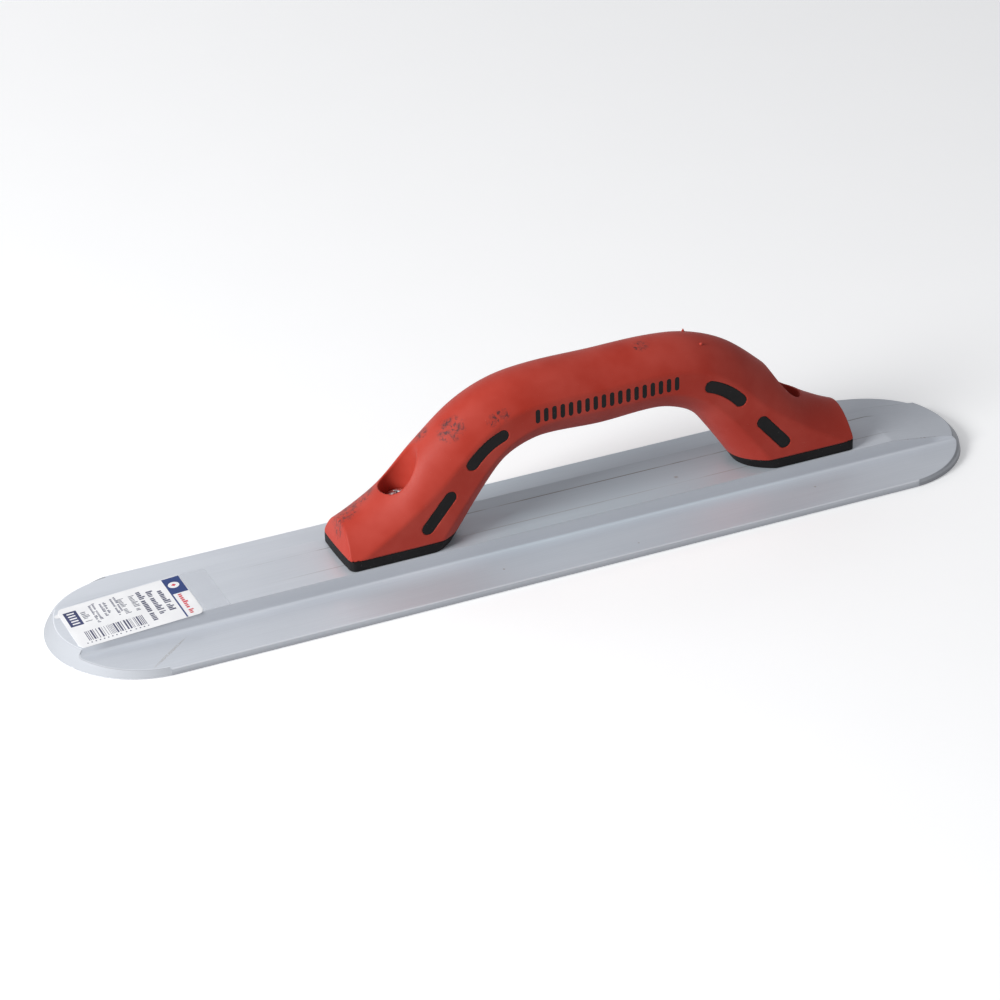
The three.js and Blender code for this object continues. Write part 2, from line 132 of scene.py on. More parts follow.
class Nodes:
    """A small helper that builds one material's nodes."""

    def __init__(self, name):
        self.material = bpy.data.materials.new(name)
        self.material.use_nodes = True
        self.tree = self.material.node_tree
        self.tree.nodes.clear()
        self.shader = self.add("BsdfPrincipled")
        self.add("OutputMaterial", Surface=self.shader.outputs[0])
        self.position = self.scaled(self.add("TexCoord").outputs["Object"], (1 / MM,) * 3)
        parts = self.add("SeparateXYZ", Vector=self.position)
        self.x, self.y, self.z = parts.outputs

    def put(self, socket, value):
        if isinstance(value, bpy.types.NodeSocket):
            self.tree.links.new(value, socket)
        else:
            socket.default_value = value

    def add(self, kind, **inputs):
        """A new node, with a value or a link for each input that is named."""
        node = self.tree.nodes.new("ShaderNode" + kind)
        for name, value in inputs.items():
            self.put(node.inputs[name], value)
        return node

    def fill(self, node, values):
        """The node, with its first inputs set in order."""
        for socket, value in zip(node.inputs, values):
            self.put(socket, value)
        return node

    def vector(self, operation, *values):
        node = self.add("VectorMath")
        node.operation = operation
        return self.fill(node, values).outputs["Value" if operation == "LENGTH" else "Vector"]

    def math(self, operation, *values):
        node = self.add("Math")
        node.operation = operation
        return self.fill(node, values).outputs[0]

    def scaled(self, vector, scale):
        return self.vector("MULTIPLY", vector, scale)

    def times(self, *values):
        product = values[0]
        for value in values[1:]:
            product = self.math("MULTIPLY", product, value)
        return product

    def invert(self, value):
        return self.math("SUBTRACT", 1.0, value)

    def over(self, value, low):
        """How far value is above low, and 0 below it."""
        return self.math("MAXIMUM", self.math("SUBTRACT", value, low), 0.0)

    def weighted(self, first, share, second):
        """The share of first, and the rest of second."""
        return self.math("ADD", self.times(first, share), self.times(second, 1 - share))

    def noise(self, scale, detail, roughness, distortion=0.0, along=(1.0, 1.0, 1.0)):
        """Noise at the object's own place, drawn out where along is below 1."""
        place_at = self.scaled(self.position, along)
        return self.add(
            "TexNoise", Vector=place_at, Scale=scale, Detail=detail, Roughness=roughness,
            Distortion=distortion).outputs[0]

    def fit(self, value, low, high, to_low=0.0, to_high=1.0, smooth=True):
        """value taken from low..high to to_low..to_high, and held at both ends."""
        node = self.add("MapRange")
        node.interpolation_type = "SMOOTHSTEP" if smooth else "LINEAR"
        return self.fill(node, (value, low, high, to_low, to_high)).outputs[0]

    def mix(self, factor, first, second):
        node = self.add("Mix")
        node.data_type = "RGBA"
        self.put(node.inputs["Factor"], factor)
        self.put(node.inputs[6], first)
        self.put(node.inputs[7], second)
        return node.outputs[2]

    def paint(self, colour, rgb, *masks):
        """colour with rgb laid over it, as strongly as the product of the masks."""
        return self.mix(self.times(*masks), colour, (*rgb, 1))

    def spot(self, centre, radii, turn=(0, 0, 0), edge=0.6):
        """1 inside an ellipsoid round centre, fading to 0 at its surface."""
        local = self.vector("SUBTRACT", self.position, centre)
        if any(turn):
            rotate = self.add("VectorRotate", Vector=local)
            rotate.rotation_type = "EULER_XYZ"
            rotate.invert = True
            rotate.inputs["Rotation"].default_value = [math.radians(a) for a in turn]
            local = rotate.outputs[0]
        reach = self.vector("LENGTH", self.scaled(local, [1 / r for r in radii]))
        return self.fit(reach, edge, 1.0, 1.0, 0.0)

    def bump(self, height, distance, strength):
        return self.add("Bump", Height=height, Distance=distance * MM, Strength=strength).outputs[0]

    def finish(self, colour, roughness, normal=None, **constants):
        self.put(self.shader.inputs["Base Color"], colour)
        self.put(self.shader.inputs["Roughness"], roughness)
        if normal is not None:
            self.put(self.shader.inputs["Normal"], normal)
        for name, value in constants.items():
            self.shader.inputs[name.replace("_", " ")].default_value = value
        return self.material


def magnesium():
    n = Nodes("blade_magnesium")
    x, y, z = n.x, n.y, n.z
    streaks = n.noise(2.2, 4.0, 0.6, along=(0.012, 1.0, 1.0))
    broad = n.noise(0.05, 2.0, 0.5, along=(0.3, 1.0, 1.0))
    grain = n.noise(3.0, 2.0, 0.6)
    tone = n.fit(n.weighted(streaks, 0.45, broad), 0.3, 0.7)
    colour = n.mix(tone, (0.605, 0.635, 0.685, 1), (0.675, 0.705, 0.755, 1))
    # Painted shade darkens the sawn outer edge below the extruded faces, most of all round the rear end,
    # which faces away from the key; the front bevel's ground finish is duller, and the rear bevel's is
    # darkened further with painted shade.
    past = n.over(n.math("ABSOLUTE", x), END_CENTRE)
    from_line = n.vector("LENGTH", n.add("CombineXYZ", X=past, Y=y).outputs[0])
    edge = n.fit(from_line, HALF_WIDTH - 0.3, HALF_WIDTH - 0.16)
    at_rear = n.fit(x, BEVEL_START, BEVEL_START + 1.0)
    at_front = n.fit(x, -BEVEL_START - 0.6, -BEVEL_START, 1.0, 0.0)
    behind_front = n.invert(at_front)
    colour = n.paint(colour, (0.3, 0.31, 0.33), edge, 0.3)
    colour = n.paint(colour, (0.26, 0.265, 0.28), edge, at_rear, 0.55)
    cone = n.math("ADD", from_line, n.times(n.math("SUBTRACT", z, 0.3), FRONT_CONE))
    ground = n.times(n.fit(cone, 39.64, 39.7), at_front)
    colour = n.paint(colour, (0.4, 0.415, 0.44), ground, 0.75)
    # The rear bevel's ground finish, darkened further with painted shade where it faces away from the key.
    rear_cone = n.math("ADD", from_line, n.times(n.over(z, 2.8), REAR_CONE))
    rear_ground_and_shade = n.times(n.fit(rear_cone, 38.95, 39.1), at_rear)
    colour = n.paint(colour, (0.24, 0.25, 0.27), rear_ground_and_shade, 0.65)
    # Painted highlights run along the arrises, and painted shade darkens the sawn side edge towards the sole.
    side_arris = n.fit(from_line, HALF_WIDTH - 0.8, HALF_WIDTH - 0.5)
    side_arris = n.times(side_arris, n.fit(z, 2.4, 2.7), behind_front)
    front_arris = n.times(n.fit(cone, 39.15, 39.4), n.math("SUBTRACT", at_front, ground))
    arris_highlight = n.math("ADD", front_arris, side_arris)
    colour = n.paint(colour, (0.88, 0.9, 0.94), arris_highlight, n.invert(rear_ground_and_shade), 0.45)
    colour = n.paint(colour, (0.25, 0.26, 0.29), edge, n.fit(z, 0.4, 2.3, 1.0, 0.0), behind_front, 0.45)
    # Painted shade makes the rib's drawn side walls, which face away from the light, a little darker than its
    # faces.
    across = n.math("ABSOLUTE", y)
    wall = n.times(
        n.fit(across, RIB_TOP_HALF - 0.02, RIB_TOP_HALF + 0.1),
        n.fit(across, 17.0, 17.5, 1.0, 0.0),
        n.fit(z, FLANGE_ROOT + 0.5, FLANGE_ROOT + 1.4),
        n.fit(from_line, 26.0, 32.0, 1.0, 0.0))
    colour = n.paint(colour, (0.36, 0.375, 0.41), wall, 0.45)
    # Painted shade under and beside the handle, tinted cool to cancel the red light the handle bounces onto
    # the metal, and deeper on the rib's top under the arch.
    under = n.times(n.fit(x, -60.0, 0.0), n.fit(x, 85.0, 150.0, 1.0, 0.0))
    colour = n.paint(colour, (0.45, 0.68, 0.78), under, n.invert(wall), n.invert(edge), 0.19)
    on_rib = n.times(n.fit(across, 16.0, 16.4, 1.0, 0.0), n.fit(z, 7.5, 8.2))
    colour = n.paint(colour, (0.2, 0.3, 0.34), under, on_rib, 0.22)
    # Brown dirt in the far die line, thin and faint in the near one.
    line_noise = n.fit(n.noise(0.7, 3.0, 0.6, along=(0.06, 1.0, 1.0)), 0.3, 0.52)
    on_top = n.times(n.fit(x, -128.0, -66.0), n.fit(x, 166.0, 172.0, 1.0, 0.0), n.fit(z, 6.0, 7.0))
    for line, amount, dirt in ((DIE_LINE, 0.85, (0.15, 0.12, 0.1)), (-DIE_LINE, 0.5, (0.3, 0.28, 0.27))):
        off = n.math("ABSOLUTE", n.math("SUBTRACT", y, line))
        near = n.fit(off, 0.14, DIE_LINE_HALF + 0.14, 1.0, 0.0)
        colour = n.paint(colour, dirt, near, line_noise, on_top, amount)
    # A faint brown scuff on the front flange, brown burrs along the rear ramp's ridge, a few rust dots.
    scuff = n.spot((-163.0, -29.0, 3.6), (14.0, 0.8, 3.0), (0, 0, 38))
    colour = n.paint(colour, (0.3, 0.25, 0.2), scuff, n.fit(grain, 0.4, 0.6), 0.5)
    ridge = n.spot((182.0, -16.1, 8.2), (13.0, 0.4, 2.4))
    ridge_noise = n.noise(0.35, 3.0, 0.7, along=(1.0, 0.4, 0.4))
    colour = n.paint(colour, (0.2, 0.12, 0.08), ridge, n.fit(ridge_noise, 0.54, 0.66), 0.7)
    for centre, size in RUST_DOTS:
        dot = n.spot(centre, (size,) * 3, edge=0.2)
        colour = n.paint(colour, (0.24, 0.17, 0.13), dot, n.fit(grain, 0.3, 0.6), 0.7)
    rough = n.math("ADD", n.fit(streaks, 0.25, 0.75, 0.38, 0.48, smooth=False), n.times(ground, 0.3))
    normal = n.bump(n.weighted(streaks, 0.6, grain), 0.02, 0.5)
    return n.finish(colour, rough, normal, Metallic=0.28, Anisotropic=0.3, IOR=1.6)


def red_rubber():
    n = Nodes("grip_red_rubber")
    broad = n.noise(0.04, 3.0, 0.55)
    fine = n.noise(1.6, 4.0, 0.6)
    speck = n.noise(1.3, 1.0, 0.4)
    colour = n.mix(n.fit(broad, 0.28, 0.72), (0.405, 0.027, 0.012, 1), (0.48, 0.053, 0.034, 1))
    colour = n.paint(colour, (0.55, 0.16, 0.12), n.fit(speck, 0.78, 0.84, 0.0, 0.3))
    # Dark scuffs, smeared in the middle of each patch and flecked all over it.
    smears = 0.0
    for centre, radii, turn in SCUFFS:
        smears = n.math("MAXIMUM", smears, n.spot(centre, radii, turn, 0.1))
    smear = n.fit(n.noise(0.36, 5.0, 0.7, 0.8), 0.45, 0.62)
    colour = n.paint(colour, (0.1, 0.035, 0.035), n.fit(smears, 0.0, 0.6), smear, 0.55)
    fleck = n.fit(n.noise(0.75, 3.0, 0.6, 0.4, along=(1.0, 1.0, 0.6)), 0.54, 0.6)
    colour = n.paint(colour, (0.035, 0.022, 0.026), n.fit(smears, 0.0, 0.5), fleck, 0.75)
    pale = n.noise(2.1, 1.0, 0.5)
    colour = n.paint(colour, (0.5, 0.2, 0.16), n.fit(pale, 0.77, 0.82, 0.0, 0.4))
    # The mould's parting line stands up a little down the middle of both toes.
    parting = n.fit(n.math("ABSOLUTE", n.y), 0.1, 0.35, 1.0, 0.0)
    from_middle = n.math("ABSOLUTE", n.math("SUBTRACT", n.x, HANDLE_X))
    parting = n.times(parting, n.fit(from_middle, 106.0, 110.0))
    normal = n.bump(n.math("ADD", n.times(fine, 0.25), parting), 0.12, 0.6)
    rough = n.fit(fine, 0.3, 0.7, 0.48, 0.62, smooth=False)
    return n.finish(colour, rough, normal, Sheen_Weight=0.05, Sheen_Roughness=0.5, IOR=1.36)


def black_plastic():
    n = Nodes("core_black_plastic")
    fine = n.noise(2.6, 3.0, 0.6)
    broad = n.noise(0.12, 2.0, 0.5)
    colour = n.mix(n.fit(broad, 0.3, 0.7), (0.0045, 0.004, 0.0042, 1), (0.008, 0.0072, 0.0075, 1))
    dust = n.noise(1.7, 0.0, 0.0)
    colour = n.mix(n.fit(dust, 0.8, 0.84, 0.0, 0.3), colour, (0.15, 0.13, 0.13, 1))
    rough = n.fit(fine, 0.3, 0.7, 0.5, 0.66, smooth=False)
    return n.finish(colour, rough, n.bump(fine, 0.05, 0.4), IOR=1.3)


def zinc_steel():
    n = Nodes("fastener_zinc")
    fine = n.noise(4.0, 3.0, 0.6)
    broad = n.noise(0.6, 2.0, 0.5)
    colour = n.mix(n.fit(broad, 0.3, 0.7), (0.72, 0.73, 0.75, 1), (0.85, 0.86, 0.87, 1))
    rough = n.fit(fine, 0.3, 0.7, 0.22, 0.36, smooth=False)
    return n.finish(colour, rough, n.bump(fine, 0.02, 0.4), Metallic=1.0)


def paper(name, colour_low, colour_high):
    n = Nodes(name)
    fibre = n.noise(2.2, 4.0, 0.65)
    broad = n.noise(0.12, 2.0, 0.5)
    tone = n.fit(n.weighted(fibre, 0.3, broad), 0.3, 0.7)
    colour = n.mix(tone, (*colour_low, 1), (*colour_high, 1))
    rough = n.fit(fibre, 0.3, 0.7, 0.42, 0.55, smooth=False)
    return n.finish(colour, rough, n.bump(fibre, 0.02, 0.3), IOR=1.45)


def clear_film():
    n = Nodes("film_clear")
    fine = n.noise(0.8, 3.0, 0.6, along=(0.3, 1.0, 1.0))
    colour = n.mix(fine, (0.7, 0.72, 0.76, 1), (0.78, 0.8, 0.83, 1))
    rough = n.fit(fine, 0.3, 0.7, 0.2, 0.32, smooth=False)
    return n.finish(colour, rough, n.bump(fine, 0.02, 0.4), Alpha=0.1, IOR=1.45)


def floor_white():
    n = Nodes("floor_white")
    fine = n.noise(0.02, 3.0, 0.5)
    colour = n.mix(fine, (0.88, 0.88, 0.88, 1), (0.9, 0.9, 0.9, 1))
    return n.finish(colour, 0.8, Emission_Color=(1, 1, 1, 1), Emission_Strength=0.23)


# Mesh helpers

def add_object(name, mesh, material):
    piece = bpy.data.objects.new(name, mesh)
    bpy.context.scene.collection.objects.link(piece)
    mesh.materials.append(material)
    return piece


def mesh_from(name, vertices_mm, faces):
    mesh = bpy.data.meshes.new(name)
    mesh.from_pydata([tuple(v) for v in np.asarray(vertices_mm, float) * MM], [], [tuple(f) for f in faces])
    return mesh


def place(piece, nodes):
    """The piece rides on the float and stands for these CAD nodes, which are hidden."""
    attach(piece, BODY)
    if nodes:
        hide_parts(*nodes)


def custom_normals(mesh, normals):
    mesh.shade_smooth()
    mesh.normals_split_custom_set_from_vertices([tuple(v) for v in normals])


def piece_from(work, name, material, sharp_angle=40):
    """The bmesh as a piece, with its faces turned out and weighted normals."""
    bmesh.ops.recalc_face_normals(work, faces=work.faces)
    mesh = bpy.data.meshes.new(name)
    work.to_mesh(mesh)
    work.free()
    piece = add_object(name, mesh, material)
    mesh.shade_smooth()
    mesh.set_sharp_from_angle(angle=math.radians(sharp_angle))
    modifier = piece.modifiers.new("weighted", "WEIGHTED_NORMAL")
    modifier.keep_sharp = True
    modifier.weight = 80
    return piece


def join_rings(work, rings):
    """Quads between each ring of vertices and the next."""
    for lower, upper in zip(rings, rings[1:]):
        for k in range(len(lower)):
            nxt = (k + 1) % len(lower)
            work.faces.new((lower[k], lower[nxt], upper[nxt], upper[k]))


def surface_net(field, low, high, step):
    """A closed quad mesh on the zero surface of field, with its exact normals. field is negative inside."""
    grid = np.meshgrid(*[np.arange(a, b + step, step) for a, b in zip(low, high)], indexing="ij")
    inside = field(*grid) < 0
    shape = np.array(inside.shape) - 1
    count = np.zeros(shape, np.int8)
    for i, j, k in np.ndindex(2, 2, 2):
        count += inside[i:i + shape[0], j:j + shape[1], k:k + shape[2]]
    cells = np.argwhere((count > 0) & (count < 8))
    index = np.full(shape, -1)
    index[tuple(cells.T)] = np.arange(len(cells))
    quads = []
    for axis, across in enumerate(((1, 2), (0, 2), (0, 1))):
        goes_out = np.delete(inside, -1, axis)
        spots = np.argwhere(goes_out != np.delete(inside, 0, axis))
        ring = []
        for offset in ((-1, -1), (0, -1), (0, 0), (-1, 0)):
            cell = spots.copy()
            cell[:, across] += offset
            ring.append(index[tuple(cell.T)])
        ring = np.stack(ring, 1)
        flip = goes_out[tuple(spots.T)] == (axis == 1)
        ring[flip] = ring[flip][:, ::-1]
        quads.append(ring)
    points, normals = settle(field, np.array(low) + (cells + 0.5) * step, 4, 0.35 * step)
    return points, np.concatenate(quads), normals


def slope(field, points, h=0.02):
    """The field's slope along each axis at these points."""
    steps = np.eye(3) * h
    return np.stack([(field(*(points + e).T) - field(*(points - e).T)) / (2 * h) for e in steps], 1)


def settle(field, points, passes, limit):
    """Moves points onto the zero surface, and gives the surface's normals there."""
    for _ in range(passes):
        gradient = slope(field, points)
        square = np.maximum((gradient ** 2).sum(1), 0.05)
        move = -(field(*points.T) / square)[:, None] * gradient
        length = np.linalg.norm(move, axis=1, keepdims=True)
        move *= np.minimum(1.0, limit * 2 / np.maximum(length, 1e-9))
        points = points + move
    gradient = slope(field, points)
    return points, gradient / np.maximum(np.linalg.norm(gradient, axis=1, keepdims=True), 1e-9)


def net_piece(name, field, low, high, step, keep_ratio, material):
    """A piece made from a field, thinned to keep_ratio of its faces, with the field's own normals."""
    points, faces, _ = surface_net(field, low, high, step)
    mesh = mesh_from(name, points, faces)
    piece = add_object(name, mesh, material)
    thin = piece.modifiers.new("thin", "DECIMATE")
    thin.ratio = keep_ratio
    thinned = bpy.data.meshes.new_from_object(piece.evaluated_get(bpy.context.evaluated_depsgraph_get()))
    piece.modifiers.clear()
    piece.data = thinned
    bpy.data.meshes.remove(mesh)
    thinned.name = name
    points = np.zeros(len(thinned.vertices) * 3, np.float32)
    thinned.vertices.foreach_get("co", points)
    points, normals = settle(field, points.reshape(-1, 3).astype(float) / MM, 3, 0.2 * step)
    thinned.vertices.foreach_set("co", (points * MM).astype(np.float32).ravel())
    custom_normals(thinned, normals)
    thinned.update()
    return piece


def smooth_max(a, b, radius):
    h = np.maximum(radius - np.abs(a - b), 0) / radius
    return np.maximum(a, b) + h * h * radius / 4


def smooth_min(a, b, radius):
    return -smooth_max(-a, -b, radius)


# Blade

def flange_height(y):
    """Height of the flange's top, which falls evenly from the rib's fillet to the side's arris."""
    outer, inner = HALF_WIDTH - ARRIS, RIB_FOOT_HALF + RIB_FILLET
    return EDGE_HEIGHT + (FLANGE_ROOT - EDGE_HEIGHT) * (outer - y) / (outer - inner)


def flange_rows():
    """The fixed part of the half section, from the side's arris to the top of the rib's fillet, as (y, z)."""
    ys = [HALF_WIDTH - ARRIS, 39.1, 38.9, 38.6, 38.3]
    ys += [38.0 * math.sin(math.radians(angle)) for angle in np.arange(87.0, 30.0, -2.4)]
    rows = [(y, flange_height(y)) for y in ys]
    centre_y, centre_z = RIB_FOOT_HALF + RIB_FILLET, FLANGE_ROOT + RIB_FILLET
    for angle in -math.pi / 2 - np.linspace(0.0, math.pi / 2 - math.atan(WALL_LEAN), 9):
        rows.append((centre_y + RIB_FILLET * math.cos(angle), centre_z + RIB_FILLET * math.sin(angle)))
    return rows


FLANGE_ROWS = flange_rows()


def rib_rows(top):
    """The rest of the half section for a rib of height top, from the fillet to the blade's middle."""
    foot_y, foot_z = FLANGE_ROWS[-1]
    top = max(top, foot_z + 0.12)
    corner = min(0.3, (top - foot_z) * 0.6)
    wall_end = top - corner
    edge_y = foot_y - WALL_LEAN * (top - foot_z)
    heights = [foot_z + (wall_end - foot_z) * share for share in (0.35, 0.7, 1.0)]
    rows = [(foot_y - WALL_LEAN * (z - foot_z), z) for z in heights]
    for angle in (math.pi / 2 * share for share in (0.35, 0.7)):
        rows.append((edge_y - corner * (1 - math.cos(angle)), wall_end + corner * math.sin(angle)))
    rows += [(y, top) for y in (edge_y - corner, 14.2, 12.6, 11.0, 9.6, DIE_LINE + DIE_LINE_HALF)]
    rows.append((DIE_LINE, top - DIE_LINE_DEPTH))
    return rows + [(y, top) for y in (DIE_LINE - DIE_LINE_HALF, 6.3, 4.7, 3.1, 1.6, 0.0)]


def rib_top_at(distance, ramp):
    """Height of the rib at this distance from the blade's middle, with the ramp's edge softened."""
    start, fall = ramp
    past = distance - start
    if past <= -CREASE_EASE:
        return RIB_HEIGHT
    if past >= CREASE_EASE:
        return RIB_HEIGHT - past * fall
    return RIB_HEIGHT - fall * (past + CREASE_EASE) ** 2 / (4 * CREASE_EASE)


class Bevel:
    """One round end's machined wall, which eases in from the straight side over the run_in."""

    def __init__(self, profile, run_in):
        self.heights = np.linspace(-0.5, 12.0, 1251)
        radii = np.interp(self.heights, [z for _, z in profile], [r for r, _ in profile])
        window = np.ones(41) / 41
        self.insets = HALF_WIDTH - np.convolve(np.pad(radii, 20, mode="edge"), window, mode="valid")
        self.run_in = run_in

    def share(self, distance):
        """0 on the straight side, 1 where the wall has its full lean."""
        t = min(max((distance - self.run_in[0]) / (self.run_in[1] - self.run_in[0]), 0.0), 1.0)
        return t * t * (3 - 2 * t)

    def inset(self, height):
        return max(float(np.interp(height, self.heights, self.insets)), 0.0)

    def edge(self, top, share):
        """The three points, as (inset, height), that the rounded top edge is drawn through."""
        straight = ((0.0, top - ARRIS), (0.0, top), (ARRIS, top))
        below = max(top - SETBACK, 0.4)
        lean_in = self.inset(top)
        leaning = ((self.inset(below), below), (lean_in, top), (lean_in + SETBACK * 0.85, top))
        return [tuple(a + (b - a) * share for a, b in zip(p, q)) for p, q in zip(straight, leaning)]

    def wall(self, top, share):
        """Points (inset, height) from the sole up to just below the top surface."""
        start, corner, end = self.edge(top, share)
        points = [(0.25, 0.0), (0.07, 0.07), (0.0, 0.25)]
        for height in (0.8, 1.4, 2.0, 2.5, 2.8, 3.1, 3.5, 4.0, 4.6, 5.4, 6.2, 7.0, 8.0):
            z = min(height, start[1])
            points.append((self.inset(z) * share if z < start[1] else start[0], z))
        for t in (0.25, 0.5, 0.75):
            points.append(tuple(
                (1 - t) ** 2 * a + 2 * t * (1 - t) * b + t * t * c for a, b, c in zip(start, corner, end)))
        return points


class HalfBlade:
    """Half of the blade, on the side of Y that side_y gives, built into shared vertex and face lists."""

    def __init__(self, mesh, side_y, run_length):
        run_in = (BEVEL_START - 0.1, BEVEL_START + run_length)
        self.mesh = mesh
        self.side_y = side_y
        self.ends = {-1: (Bevel(FRONT_BEVEL, run_in), FRONT_RAMP), 1: (Bevel(REAR_BEVEL, run_in), REAR_RAMP)}

    def section(self, distance, ramp):
        return FLANGE_ROWS + rib_rows(rib_top_at(distance, ramp))

    def row_end(self, j, bevel, ramp):
        """How far from the blade's middle row j runs before it meets the end's rounded edge."""
        low, high = bevel.run_in[0], HALF_LENGTH
        for _ in range(36):
            middle = (low + high) / 2
            y, z = self.section(middle, ramp)[j]
            inset = bevel.edge(z, bevel.share(middle))[2][0]
            if math.hypot(middle - END_CENTRE, y) > HALF_WIDTH - inset:
                high = middle
            else:
                low = middle
        return (low + high) / 2

    def end_points(self, j, side):
        """Row j's points over one end, from the blade's middle outwards."""
        bevel, ramp = self.ends[side]
        end = self.row_end(j, bevel, ramp)
        crease = min(ramp[0], MIDDLE_REACH + 0.45 * (end - MIDDLE_REACH))
        before, after = crease - CREASE_EASE, crease + CREASE_EASE
        stations = [MIDDLE_REACH + (before - MIDDLE_REACH) * s for s in (0.2, 0.4, 0.6, 0.8, 0.92)]
        stations += [crease + CREASE_EASE * s for s in (-1, -0.5, 0, 0.5, 1)]
        stations += [after + (end - after) * s for s in (0.2, 0.4, 0.6, 0.8, 0.94, 1.0)]
        return [(side * d, *self.section(d, ramp)[j]) for d in stations]

    def wall_column(self, side, x, y, z, angle=None):
        """The wall under one point of the top surface, from the sole up, at this angle round the end."""
        bevel = self.ends[side][0]
        share = bevel.share(abs(x))
        points = bevel.wall(z, share)
        at_edge = Vector((side * max(abs(x) - END_CENTRE, 0.0), self.side_y * y, 0)).normalized()
        below = at_edge
        if angle is not None:
            below = Vector((side * math.cos(angle), self.side_y * math.sin(angle), 0))
        foot = Vector((side * min(abs(x), END_CENTRE), 0, 0))
        edge_start = len(points) - 3
        column = []
        for k, (inset, height) in enumerate(points):
            out = at_edge if k >= edge_start else below
            normal = None
            if k > 2:
                lean = (bevel.inset(height + 0.1) - bevel.inset(height - 0.1)) / 0.2 * share
                wall = (out + Vector((0, 0, lean))).normalized()
                turned = max(k - edge_start + 1, 0) / 4
                normal = (wall * (1 - turned) + Vector((0, 0, turned))).normalized()
            point = foot + out * (HALF_WIDTH - inset) + Vector((0, 0, height))
            column.append(self.mesh.vertex(point, normal))
        return column

    def build(self):
        middle = np.linspace(-MIDDLE_REACH, MIDDLE_REACH, 41)
        lines = []
        for j in range(len(self.section(0.0, FRONT_RAMP))):
            between = [(x, *self.section(abs(x), FRONT_RAMP)[j]) for x in middle]
            lines.append(self.end_points(j, -1)[::-1] + between + self.end_points(j, 1))
        rows = [[self.mesh.vertex((x, self.side_y * y, z)) for x, y, z in line] for line in lines]
        for outer, inner in zip(rows, rows[1:]):
            for a in range(len(outer) - 1):
                self.mesh.face((outer[a], outer[a + 1], inner[a + 1], inner[a]), self.side_y > 0)
        columns = {}
        for side, at_end in ((-1, 0), (1, -1)):
            columns[side] = []
            angle = math.pi
            for line, row in zip(lines, rows):
                x, y, z = line[at_end]
                # The columns keep their order round the end, beside the rib's leaning wall too.
                angle = min(math.atan2(y, max(abs(x) - END_CENTRE, 0.0)), angle - COLUMN_GAP)
                columns[side].append(self.wall_column(side, x, y, z, angle) + [row[at_end]])
        straight = [
            self.wall_column(1 if x > 0 else -1, x, y, z) + [vertex]
            for (x, y, z), vertex in zip(lines[0][1:-1], rows[0][1:-1])]
        loop = columns[-1][::-1] + straight + columns[1]
        for left, right in zip(loop, loop[1:]):
            for k in range(len(left) - 1):
                self.mesh.face((left[k], right[k], right[k + 1], left[k + 1]), self.side_y > 0)
            middle = [self.mesh.vertex((self.mesh.points[i][0], 0.0, 0.0)) for i in (left[0], right[0])]
            self.mesh.face((left[0], *middle, right[0]), self.side_y > 0)


class MeshLists:
    """Vertices, merged where they meet, and faces of one mesh, with the normals known in advance."""

    def __init__(self):
        self.points, self.faces, self.known, self.index = [], [], {}, {}

    def vertex(self, point, normal=None):
        key = tuple(int(round(c * 1000)) for c in point)
        if key not in self.index:
            self.index[key] = len(self.points)
            self.points.append(tuple(float(c) for c in point))
        if normal is not None:
            self.known[self.index[key]] = normal
        return self.index[key]

    def face(self, corners, flip):
        ring = [c for k, c in enumerate(corners) if c != corners[k - 1]]
        if len(set(ring)) >= 3:
            self.faces.append(ring[::-1] if flip else ring)

    def normals(self):
        """Each vertex's normal: known, or its faces' normals weighted by their areas."""
        points = np.array(self.points)
        total = np.zeros_like(points)
        for ring in self.faces:
            p = points[ring]
            area = sum(np.cross(p[k] - p[0], p[k + 1] - p[0]) for k in range(1, len(ring) - 1))
            total[ring] += area * np.linalg.norm(area) ** 0.3
        total /= np.maximum(np.linalg.norm(total, axis=1, keepdims=True), 1e-12)
        for i, normal in self.known.items():
            total[i] = normal
        return total


def build_blade():
    lists = MeshLists()
    HalfBlade(lists, -1, 0.35).build()
    HalfBlade(lists, 1, 9.0).build()
    mesh = mesh_from("blade", lists.points, lists.faces)
    custom_normals(mesh, lists.normals())
    place(add_object("blade", mesh, magnesium()), ["blade"])


# Handle

def line_height(knots, distance):
    """The smooth line through knots, the same one that the frame's handle follows."""
    xs, zs = np.array(knots, float).T
    slopes = np.zeros(len(xs))
    slopes[1:-1] = (zs[2:] - zs[:-2]) / (xs[2:] - xs[:-2])
    slopes[-1] = (zs[-1] - zs[-2]) / (xs[-1] - xs[-2])
    i = np.clip(np.searchsorted(xs, distance) - 1, 0, len(xs) - 2)
    span = xs[i + 1] - xs[i]
    t = (distance - xs[i]) / span
    inner = np.clip(t, 0, 1)
    rise = (zs[i + 1] - zs[i]) * inner * inner * (3 - 2 * inner)
    leave = inner * (1 - inner) ** 2 * slopes[i]
    arrive = inner ** 2 * (inner - 1) * slopes[i + 1]
    past = np.maximum(t - 1, 0) * slopes[i + 1]
    return zs[i] + rise + span * (leave + arrive + past)


TABLE_REACH = 121.0
TABLE_STEP = 0.05
TABLE_X = np.arange(0, TABLE_REACH, TABLE_STEP)


def smooth_table(knots, window=3.0):
    """line_height as a fine table, run through a short moving average that softens its bends."""
    raw = line_height(knots, np.abs(np.arange(-window * 2, TABLE_REACH + window * 2, TABLE_STEP)))
    width = int(window / TABLE_STEP / 2)
    kernel = np.hanning(2 * width + 3)[1:-1]
    soft = np.convolve(raw, kernel / kernel.sum(), mode="same")
    skip = int(round(window * 2 / TABLE_STEP))
    return soft[skip:skip + len(TABLE_X)]


TABLES = {name: smooth_table(knots) for name, knots in (
    ("crest", CREST), ("upper", UPPER_EDGE), ("lower", LOWER_EDGE), ("keel", KEEL), ("width", WIDTH_LINE))}
SLOPES = {name: np.gradient(table, TABLE_STEP) for name, table in TABLES.items()}


def look_up(name, distance, slopes=False):
    return np.interp(distance, TABLE_X, (SLOPES if slopes else TABLES)[name])


def crown_drop(t):
    def depth(u):
        return 1 - np.sqrt(1 - (u / SIDE_FLAT) ** 2)

    return depth(t) / depth(1.0)


